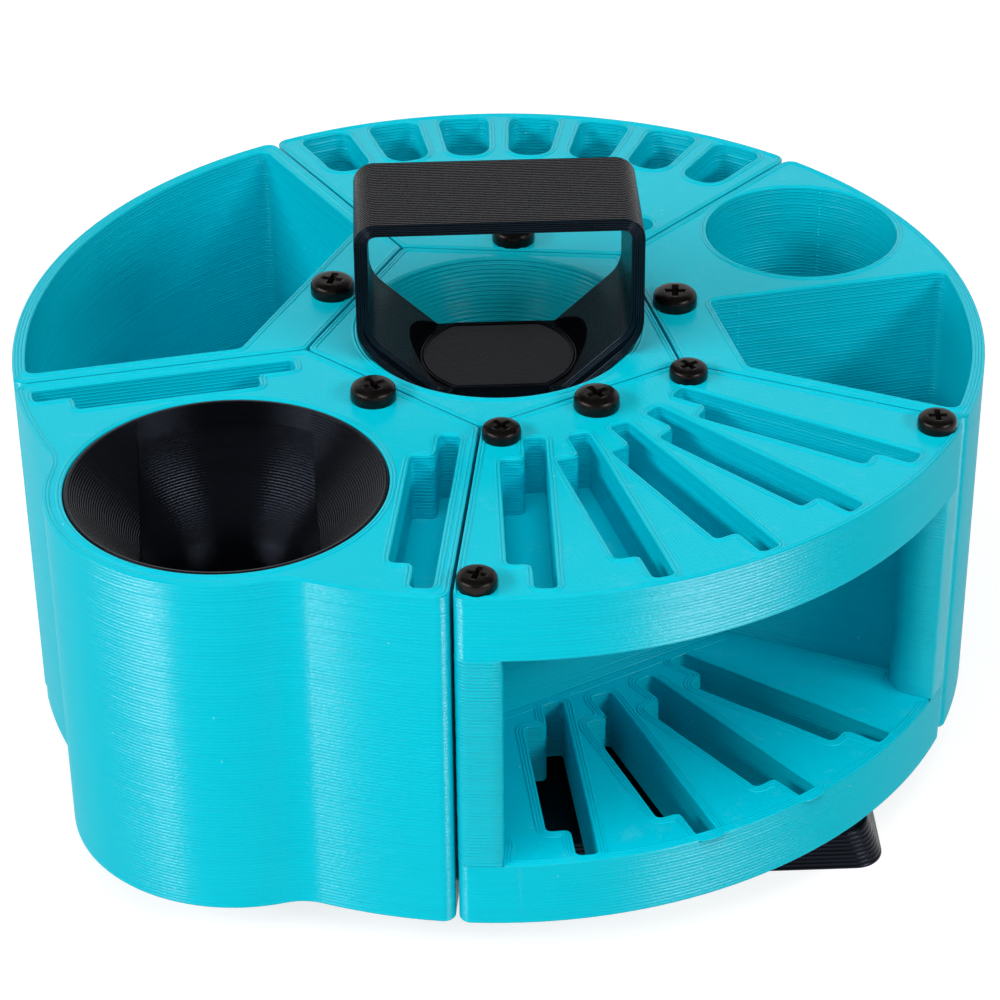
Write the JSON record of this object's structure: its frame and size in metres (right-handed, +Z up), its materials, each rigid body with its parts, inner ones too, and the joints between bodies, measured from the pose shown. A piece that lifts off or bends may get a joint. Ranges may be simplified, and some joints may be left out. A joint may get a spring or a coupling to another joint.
{
  "type": "tool storage caddy",
  "caption": "Round turning tool caddy of printed wedge modules on a pentagonal hub, with bins, stepped blade slots, a funnel cup, a square base and a loop handle.",
  "frame": {"origin": "centre of the base's underside, on the turning axis", "axes": "+Z up along the axle, X along the base's front edge and the handle's bar, -Y towards the front"},
  "size_m": [0.206, 0.206, 0.121],
  "materials": {
    "teal_pla": "printed plastic with fine layer lines",
    "black_pla": "printed plastic with fine layer lines",
    "black_oxide_steel": "black oxide",
    "brass": "knurled brass",
    "zinc_steel": "zinc plated",
    "bearing_steel": "ground and polished",
    "cage_nylon": "natural nylon",
    "seal_rubber": "moulded rubber"
  },
  "bodies": {
    "stand": {"base_plate": "black_pla", "axle_bolt": "zinc_steel", "bearing_spacer": "zinc_steel", "bearing_inner_rings": "bearing_steel", "handle": "black_pla", "handle_cap": "black_pla", "axle_washer": "zinc_steel", "axle_nut": "zinc_steel"},
    "carousel": {"hub": "teal_pla", "bin_module": "teal_pla", "shears_module": "teal_pla", "bottle_module": "teal_pla", "blade_rack_upper": "teal_pla", "blade_rack_lower": "teal_pla", "cup_module": "teal_pla", "module_screws": "black_oxide_steel", "rack_screws": "black_oxide_steel", "module_inserts": "brass", "rack_inserts": "brass", "bearing_outer_rings": "bearing_steel", "bearing_seals": "seal_rubber"},
    "ball_cage": {"bearing_balls": "bearing_steel", "bearing_cages": "cage_nylon"},
    "cup": {"cup_insert": "black_pla"}
  },
  "joints": [
    {"name": "carousel_turn", "type": "hinge", "parent": "stand", "child": "carousel", "pos_m": [0, 0, 0.05], "axis": [0, 0, 1], "continuous": true},
    {"name": "ball_cage_turn", "type": "hinge", "parent": "stand", "child": "ball_cage", "pos_m": [0, 0, 0.05], "axis": [0, 0, 1], "continuous": true},
    {"name": "cup_lift", "type": "slide", "parent": "carousel", "child": "cup", "axis": [0, 0, 1], "range_m": [0, 0.075]}
  ],
  "couplings": [
    {"joint": "ball_cage_turn", "follows": "carousel_turn", "ratio": 0.6323}
  ]
}
